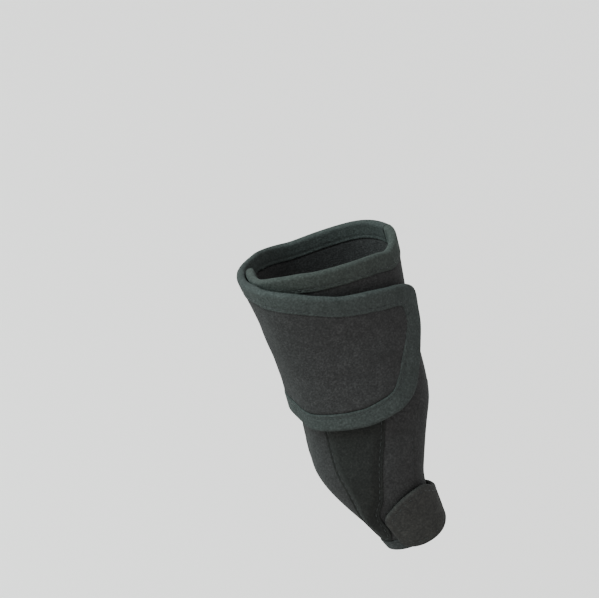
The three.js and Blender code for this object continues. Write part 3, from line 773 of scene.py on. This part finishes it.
# %% The pocket's surface and seam
POCKET_LIFT, RIM_HEIGHT, RIM_ROUND = 0.12, 0.55, 0.35
POCKET_SEAM, GROOVE_DEPTH, GROOVE_WIDTH = 1.5, 0.35, 0.6
FLAT_END = (76, 90)
pocket_face = lambda x, around: np.full(np.shape(x), PANEL_FACE)
inset = edge_distance(pocket_mid, rim(pocket_mid))
crest = RIM_HEIGHT * (1 - np.exp(-inset / RIM_ROUND))
groove = -GROOVE_DEPTH * np.exp(-(((inset - POCKET_SEAM) / GROOVE_WIDTH) ** 2))
flatter = 1 - 0.8 * ease(pocket_x, *FLAT_END)
fullness = (POCKET_STEP - RIM_HEIGHT) * ease(inset, POCKET_SEAM, 5.5) * flatter
give = 0.10 * ripple(pocket_x, 27.0, 0.9) * ease(inset, 4, 8)
pocket_base = PANEL_FACE + POCKET_LIFT
pocket_piece = cloth_layer(
    "splint_pocket_cloth",
    above(pocket_x, pocket_turn, pocket_base + crest + groove + fullness + give, "ray"),
    above(pocket_x, pocket_turn, pocket_base, "ray"),
)
pocket_row = seam_row(rim(pocket_x), rim(pocket_turn), pocket_face, "ray", -1, POCKET_SEAM, 0.42)
pocket_thread = stitches("pocket_stitching", [pocket_row], length=2.4, pitch=3.2, radius=0.22)

# %% [markdown]
# ## Wide strap
# The strap starts as the lowest layer, climbs over the panel's edge and the pocket, and its free
# end is the flap. Its height is the sum of the layers under it. Towards the heel the flap stands
# off a little, because it only rests on the panel's bound edge there, which gives the dark line
# above it in the photograph.

# %% Height and outline of the strap
strap_heel = lambda around: curve(STRAP, "around", "heel", around) * DEVICE_LENGTH + FOLD
strap_toe = lambda around: curve(STRAP, "around", "toe", around) * DEVICE_LENGTH - FOLD


def strap_mid(x, around):
    """The strap's middle: half a bound edge plus what lies under it, and a lift along the heel edge."""
    lift = HALF_TAPED + PANEL_STEP * curve(STRAP, "around", "panel", around)
    lift = lift + POCKET_STEP * curve(STRAP, "around", "pocket", around)
    share = (x - strap_heel(around)) / (strap_toe(around) - strap_heel(around))
    lift = lift + TAPE_STEP * curve(STRAP, "around", "heelTape", around) * (1 - ease(share / 0.35))
    return lift


def strap_x(share, around):
    """x at a share of the width from the heel edge to the toe edge."""
    heel, toe = strap_heel(around), strap_toe(around)
    return heel + (toe - heel) * share


SEAM_DRAWN = 0.85
FLAP_WIDER, STRAP_WIDER = 0.55, 0.08
strap_start = lambda share: curve(STRAP_ENDS, "across", "start", share) - SEAM_DRAWN
strap_end = lambda share: curve(STRAP_ENDS, "across", "end", share)
end_share = crowded(160)
heel_run = np.linspace(strap_start(0.0), strap_end(0.0), 420)
toe_run = np.linspace(strap_end(1.0), strap_start(1.0), 420)
strap_edge_turn = np.concatenate([heel_run, strap_end(end_share)[1:], toe_run[1:]])
strap_edge_x = np.concatenate(
    [strap_heel(heel_run), strap_x(end_share, strap_end(end_share))[1:], strap_toe(toe_run)[1:]]
)
strap_edge = above(strap_edge_x, strap_edge_turn, strap_mid(strap_edge_x, strap_edge_turn), "strap")


def flap_width(x, around):
    """How much wider the flap's tape is: one, and more towards the flap's end by smooth steps."""
    at_end = ease(around, 418, 440) * ease(28 - x, 0, 16)
    return 1 + FLAP_WIDER * at_end + STRAP_WIDER * ease(around, 350, 400)


print("strap edge length, mm:", round(path_lengths(strap_edge)[-1], 1))

# %% The strap's grid
LEVEL_TURN = 392.0
share = crowded(96)
level_rows, free_rows = np.linspace(0, 1, 230)[:, None], np.linspace(0, 1, 66)[1:, None]
start, end = strap_start(share)[None, :], strap_end(share)[None, :]
strap_turn = np.concatenate(
    [start + (LEVEL_TURN - start) * level_rows, LEVEL_TURN + (end - LEVEL_TURN) * free_rows]
)
strap_pos = strap_x(np.broadcast_to(share[None, :], strap_turn.shape), strap_turn)
strap_up = strap_mid(strap_pos, strap_turn)
middle = above(strap_pos, strap_turn, strap_up, "strap")
print("strap grid:", strap_turn.shape)

# %% The strap's surface
LONG_FOLD, SHORT_FOLD, TAPE_PULL = 0.30, 0.16, 0.10
strap_inset = edge_distance(middle, strap_edge, flap_width(strap_edge_x, strap_edge_turn))
root_edge = above(strap_x(share, strap_start(share)), strap_start(share), HALF_TAPED, "strap")
strap_half = cloth_half(strap_inset, TAPE_WIDTH) * cut_edge(edge_distance(middle, root_edge))
slack = ease(strap_inset, 8, 16) * ease(strap_turn, 109, 122)
drift = LONG_FOLD * ripple(strap_turn * 0.7 + strap_pos * 0.35, 37.0, 1.7)
drift = drift + SHORT_FOLD * ripple(strap_pos - strap_turn * 0.25, 17.0, 0.2)
pull = TAPE_PULL * ripple(strap_turn * 0.7, 6.0, 0.5) * np.exp(-(((strap_inset - 9.5) / 2.0) ** 2))
strap_piece = cloth_layer(
    "midfoot_strap_cloth",
    above(strap_pos, strap_turn, strap_up + strap_half + slack * drift + pull, "strap"),
    above(strap_pos, strap_turn, strap_up - strap_half, "strap"),
)

# %% The strap's tape and stitching
strap_path = (strap_edge_x, strap_edge_turn, strap_mid, "strap", -1)
strap_tape = tape("strap_edge_tape", *strap_path, TAPE_WIDTH, seed=0.8, widen=flap_width)
strap_row = seam_row(*strap_path, TAPE_WIDTH - STITCH_INSET, TAPE_THREAD, widen=flap_width)
strap_thread = stitches("strap_stitching", [strap_row])

# %% [markdown]
# ## Toe strap
# A short strap crosses the top of the toe sleeve and ends on the inner side with round corners.
# It is a single soft layer whose cut edge is rounded, so its thickness is a function of the
# distance to the edge: a quarter circle.

# %% The toe strap
TOE_DROP, TOE_ROUND, TOE_SEAM = 0.55, 1.4, 2.6
TOE_LEVEL = (TOE_STRAP_INNER + TOE_STRAP_OUTER) / 2


def toe_level(x, around):
    """The toe strap's middle: half way through its cloth, then a smooth step down to the sewn end."""
    return TOE_LEVEL - TOE_DROP * ease(around, 130, 174)


toe_turn = np.linspace(*TOE_STRAP["around"][[0, -1]], 130)
toe_heel, toe_toe = (curve(TOE_STRAP, "around", edge, toe_turn) * DEVICE_LENGTH for edge in ("heel", "toe"))
toe_x = toe_heel[:, None] + (toe_toe - toe_heel)[:, None] * crowded(44)[None, :]
toe_around = np.broadcast_to(toe_turn[:, None], toe_x.shape)
toe_mid = toe_level(toe_x, toe_around)
toe_points = above(toe_x, toe_around, toe_mid, "ray")
toe_inset = edge_distance(toe_points, rim(toe_points))
toe_half = TOE_CLOTH / 2 * cut_edge(toe_inset, TOE_ROUND, 0.12)
toe_groove = 0.16 * np.exp(-(((toe_inset - TOE_SEAM) / 0.5) ** 2))
toe_swell = 0.12 * ripple(toe_around * 0.5, 16.0, 0.6) * ease(toe_inset, 3, 7)
toe_piece = cloth_layer(
    "toe_strap_cloth",
    above(toe_x, toe_around, toe_mid + toe_half - toe_groove + toe_swell, "ray"),
    above(toe_x, toe_around, toe_mid - toe_half, "ray"),
)

# %% The toe strap's stitching
three_sides = lambda grid: np.concatenate([grid[::-1, 0], grid[0, 1:], grid[1:, -1]])
toe_edge = (three_sides(toe_x), three_sides(toe_around), toe_level, "ray", 1)
toe_row = seam_row(*toe_edge, TOE_SEAM, TOE_CLOTH / 2 - THREAD_SINK)
toe_thread = stitches("toe_strap_stitching", [toe_row], length=2.3, pitch=3.1)

# %% The zigzag between panel and strap
JOIN_SPAN, JOIN_LEGS, JOIN_TURN = (-10.5, 40.5), 46, 3.0


def zigzag_row(span, legs, half_turn):
    """A thread's line that crosses the butted edges of panel and strap with every leg, and its normals."""
    x = np.linspace(*span, legs + 1)
    middle_turn = (panel_edges(x)[1] + strap_start(0.5)) / 2
    around = middle_turn + half_turn * (-1.0) ** np.arange(legs + 1)
    return lifted(x, around, PANEL_FACE + 0.08, "ray")


zigzag = zigzag_row(JOIN_SPAN, JOIN_LEGS, JOIN_TURN)
leg = path_lengths(zigzag[0])[-1] / JOIN_LEGS
join_thread = stitches("strap_join_stitching", [zigzag], length=leg * 0.96, pitch=leg * 0.999, radius=0.26)

# %% [markdown]
# ## Materials
# The cloth is a brushed loop fabric laminated on foam, dyed charcoal. Its tiny loops scatter
# light, so it is matt and its grazing edges look paler, which is what sheen is for. One helper
# turns a hex colour to linear light, and another adds a node with its settings and links.

# %% Colour and node helpers
def linear(code):
    """An sRGB hex colour as linear red, green, blue and alpha."""
    parts = np.array([int(code[i : i + 2], 16) / 255 for i in (1, 3, 5)])
    low, high = parts / 12.92, ((parts + 0.055) / 1.055) ** 2.4
    return (*np.where(parts <= 0.04045, low, high), 1.0)


def blank_material(name):
    """A material with an empty node tree, and that tree."""
    material = bpy.data.materials.new(name)
    material.use_nodes = True
    material.node_tree.nodes.clear()
    return material, material.node_tree


def add(tree, kind, settings=None, inputs=None):
    """Adds a node: settings are its properties, inputs the links or values of its sockets."""
    node = tree.nodes.new(kind)
    for key, value in (settings or {}).items():
        setattr(node, key, value)
    for key, value in (inputs or {}).items():
        if isinstance(value, bpy.types.NodeSocket):
            tree.links.new(value, node.inputs[key])
        else:
            node.inputs[key].default_value = value
    return node


def ramp(tree, source, stops):
    """A colour ramp through hex colours at given places."""
    node = add(tree, "ShaderNodeValToRGB", inputs={"Fac": source})
    bar = node.color_ramp
    while len(bar.elements) < len(stops):
        bar.elements.new(0.5)
    for element, (place, colour) in zip(bar.elements, stops):
        element.position = place
        element.color = linear(colour)
    return node.outputs["Color"]


print("charcoal in linear light:", np.round(linear("#2b2f31")[:3], 4))

# %% [markdown]
# The pile shows at three sizes: loops about 0.7 mm apart, the nap brushed into patches of a few
# millimetres, and handling marks of a few centimetres. The loops are drawn at 0.9 mm so that
# they just show in the picture.

# %% Loop cloth
LOOP_MM, NAP_MM, MARK_MM = 0.9, 4.5, 26.0


def loop_cloth(name, dark, mid, pale, sheen, tint, bump=0.35):
    """Brushed loop cloth: noise at three real sizes mixes three tones, and the loops lift the surface."""
    material, tree = blank_material(name)
    place = add(tree, "ShaderNodeTexCoord").outputs["Object"]
    grains = []
    for size, detail in ((LOOP_MM, 3.0), (NAP_MM, 4.0), (MARK_MM, 2.0)):
        look = {"Vector": place, "Scale": 1 / (size * MM), "Detail": detail, "Roughness": 0.6}
        grains.append(add(tree, "ShaderNodeTexNoise", inputs=look).outputs["Fac"])
    loops, nap, marks = grains
    cells = add(tree, "ShaderNodeTexVoronoi", inputs={"Vector": place, "Scale": 1 / (LOOP_MM * MM)})
    weigh = {"operation": "MULTIPLY_ADD"}
    patch = add(tree, "ShaderNodeMath", weigh, {0: marks, 1: 0.5, 2: nap})
    tone = add(tree, "ShaderNodeMath", weigh, {0: loops, 1: 3.0, 2: patch.outputs[0]})
    span = {"Value": tone.outputs[0], "From Min": 1.2, "From Max": 3.3}
    scaled = add(tree, "ShaderNodeMapRange", inputs=span)
    colour = ramp(tree, scaled.outputs[0], [(0.0, dark), (0.5, mid), (1.0, pale)])
    height = add(tree, "ShaderNodeMath", weigh, {0: loops, 1: 0.7, 2: nap})
    hollows = {0: height.outputs[0], 1: cells.outputs["Distance"]}
    pile = add(tree, "ShaderNodeMath", {"operation": "SUBTRACT"}, hollows)
    lift = {"Height": pile.outputs[0], "Strength": bump, "Distance": 0.0005}
    cloth = {
        "Base Color": colour,
        "Normal": add(tree, "ShaderNodeBump", inputs=lift).outputs[0],
        "Roughness": 0.92,
        "IOR": 1.45,
        "Specular IOR Level": 0.03,
        "Sheen Weight": sheen,
        "Sheen Roughness": 0.45,
        "Sheen Tint": linear(tint),
    }
    surface = add(tree, "ShaderNodeBsdfPrincipled", inputs=cloth)
    add(tree, "ShaderNodeOutputMaterial", inputs={"Surface": surface.outputs[0]})
    return material


CLOTHS = {
    "panel": ("#161616", "#202020", "#2d2d2d", 0.045, "#b4bab8"),
    "pocket": ("#111111", "#181918", "#222221", 0.03, "#acb2b0"),
    "strap": ("#181818", "#212121", "#2f2f2f", 0.012, "#b4bcba"),
    "toe_strap": ("#181818", "#222221", "#2e2e2c", 0.03, "#b4b6b2"),
}
cloth = {name: loop_cloth(f"loop_cloth_{name}", *look) for name, look in CLOTHS.items()}
print("cloths:", *cloth)

# %% [markdown]
# The tapes are cut from the same cloth, and their tones are set a little paler and greener than
# the cloth's: painted light, for the light that the raised bound edges catch. They show soft ribs
# across their length, about 7 mm apart, where they were eased round the edge. The ribs follow the
# tape's own UV map, which holds the running length and the distance from the edge in metres. A
# wave of scale one repeats every tenth of pi metres.

# %% Edge tape
RIB_MM = 6.912


def edge_tape(name, *look):
    """Folded tape: the loop cloth's noise plus soft ribs, a wave along the tape's length."""
    material = loop_cloth(name, *look, bump=0.3)
    tree = material.node_tree
    track = add(tree, "ShaderNodeUVMap", {"uv_map": "along_and_across"}).outputs["UV"]
    bands = {"wave_type": "BANDS", "bands_direction": "X"}
    shape = {"Scale": np.pi / 10 / (RIB_MM * MM), "Distortion": 1.2, "Detail": 1.0, "Detail Scale": 2.0}
    wave = add(tree, "ShaderNodeTexWave", bands, {"Vector": track, **shape})
    surface = next(node for node in tree.nodes if node.type == "BSDF_PRINCIPLED")
    fine = surface.inputs["Normal"].links[0].from_socket
    lift = {"Height": wave.outputs["Fac"], "Normal": fine, "Strength": 0.18, "Distance": 0.0004}
    ribs = add(tree, "ShaderNodeBump", inputs=lift)
    tree.links.new(ribs.outputs[0], surface.inputs["Normal"])
    return material


# The tapes' tones, paler and greener than the cloth's, are painted light for their raised edges.
PAINTED_PALE_TAPES = {
    "strap_tape": ("#1a1d1c", "#252827", "#323635", 0.012, "#a8bab8"),
    "panel_tape": ("#1a1c1b", "#252826", "#323634", 0.04, "#a9bab7"),
    "hem_tape": ("#191a1a", "#212323", "#2e3030", 0.04, "#a9b5b3"),
}
cloth.update({name: edge_tape(f"loop_cloth_{name}", *look) for name, look in PAINTED_PALE_TAPES.items()})
print("tapes:", *PAINTED_PALE_TAPES)

# %% [markdown]
# Polyester sewing thread is twisted, so a fine grain breaks up its colour, and it is a little
# glossier than the cloth that it sinks into.

# %% Thread
TWIST_MM = 0.3125


def thread(name, dark, pale):
    """Twisted thread: noise at the size of the twist mixes two tones and lifts the surface."""
    material, tree = blank_material(name)
    place = add(tree, "ShaderNodeTexCoord").outputs["Object"]
    grain = {"Vector": place, "Scale": 1 / (TWIST_MM * MM), "Detail": 2.0}
    twist = add(tree, "ShaderNodeTexNoise", inputs=grain).outputs["Fac"]
    lift = {"Height": twist, "Strength": 0.3, "Distance": 0.0002}
    gloss = {
        "Base Color": ramp(tree, twist, [(0.3, dark), (0.7, pale)]),
        "Normal": add(tree, "ShaderNodeBump", inputs=lift).outputs[0],
        "Roughness": 0.6,
        "IOR": 1.5,
        "Specular IOR Level": 0.1,
        "Sheen Weight": 0.04,
    }
    surface = add(tree, "ShaderNodeBsdfPrincipled", inputs=gloss)
    add(tree, "ShaderNodeOutputMaterial", inputs={"Surface": surface.outputs[0]})
    return material


charcoal_thread = thread("polyester_thread", "#141616", "#252828")
print("thread:", charcoal_thread.name)

# %% [markdown]
# ## Putting it together
# Each piece stands for its solid, rides on the one body and takes its material, and the solid
# it stands for is hidden. Every layer is a sheet of cloth.

# %% Ride and replace
PIECES = [
    (panel, "medial_panel", "panel_cloth", cloth["panel"]),
    (pocket_piece, "splint_pocket", "pocket_cloth", cloth["pocket"]),
    (strap_piece, "midfoot_strap", "strap_cloth", cloth["strap"]),
    (strap_tape, "strap_binding", "strap_edge_tape", cloth["strap_tape"]),
    (panel_top_tape, "panel_top_binding", "panel_top_tape", cloth["panel_tape"]),
    (panel_side_tape, "panel_side_binding", "panel_side_tape", cloth["panel_tape"]),
    (toe_piece, "toe_strap", "toe_strap_cloth", cloth["toe_strap"]),
    (toe_hem, "toe_hem", "toe_hem_tape", cloth["hem_tape"]),
    (panel_thread, None, "panel_top_tape", charcoal_thread),
    (pocket_thread, None, "pocket_cloth", charcoal_thread),
    (strap_thread, None, "strap_edge_tape", charcoal_thread),
    (toe_thread, None, "toe_strap_cloth", charcoal_thread),
    (join_thread, None, "strap_cloth", charcoal_thread),
]
for piece, node, slot, material in PIECES:
    piece.data.materials.append(material)
    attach(piece, "root")
    if node:
        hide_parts(node)


# %% [markdown]
# ## Floor and light
# The brace hangs free above a pale floor. The floor is far below, and the sky has the floor's
# tone, so no horizon shows in the rolled view. A large soft light from the upper left of the
# picture, a weak one from below the lens and a bright pale sky give an even studio light.

# %% Floor
FLOOR_HALF, FLOOR_LEVEL = 40.0, -0.75
floor_mesh = bpy.data.meshes.new("studio_floor")
corners = [(x * FLOOR_HALF, y * FLOOR_HALF, FLOOR_LEVEL) for x, y in ((-1, -1), (1, -1), (1, 1), (-1, 1))]
floor_mesh.from_pydata(corners, [], [(0, 1, 2, 3)])
floor = bpy.data.objects.new("studio_floor", floor_mesh)
bpy.context.collection.objects.link(floor)
paint, tree = blank_material("studio_floor_paint")
matt = add(tree, "ShaderNodeBsdfPrincipled", inputs={"Base Color": linear("#f4f4f2"), "Roughness": 0.9})
add(tree, "ShaderNodeOutputMaterial", inputs={"Surface": matt.outputs[0]})
floor_mesh.materials.append(paint)
print("floor half width, m:", FLOOR_HALF)

# %% Sky and lights
LIT_PLACE = np.array([0.03, 0.0, 0.03])
world = bpy.data.worlds.new("studio_sky")
world.use_nodes = True
bpy.context.scene.world = world
sky = world.node_tree.nodes["Background"]
sky.inputs["Color"].default_value = linear("#f6f7f7")
sky.inputs["Strength"].default_value = 2.0


def soft_light(name, direction, distance, size, power, code):
    """A square lamp in a direction from the brace, turned to face it."""
    lamp = bpy.data.lights.new(name, "AREA")
    lamp.color = linear(code)[:3]
    lamp.shape, lamp.size, lamp.energy = "SQUARE", size, power
    lamp_object = bpy.data.objects.new(name, lamp)
    bpy.context.collection.objects.link(lamp_object)
    direction = unit(direction)
    lamp_object.location = Vector(LIT_PLACE + direction * distance)
    lamp_object.rotation_mode = "QUATERNION"
    lamp_object.rotation_quaternion = Vector(direction).to_track_quat("Z", "Y")
    return lamp_object


key_side = back * 0.6 - right * 0.85 - down * 0.85
fill_side = back + down * 0.5 - right * 0.2
key = soft_light("key_light", key_side, distance=1.3, size=0.9, power=52, code="#ddf0ef")
fill = soft_light("fill_light", fill_side, distance=1.6, size=1.2, power=9, code="#fff4ea")
print("key and fill power, W:", key.data.energy, fill.data.energy)

# %% [markdown]
# ## Close
# The view layer is brought up to date at the end. The visual model has to stay within the
# solids' box, apart from the little that cloth may stand proud.

# %% Finish
bpy.context.view_layer.update()
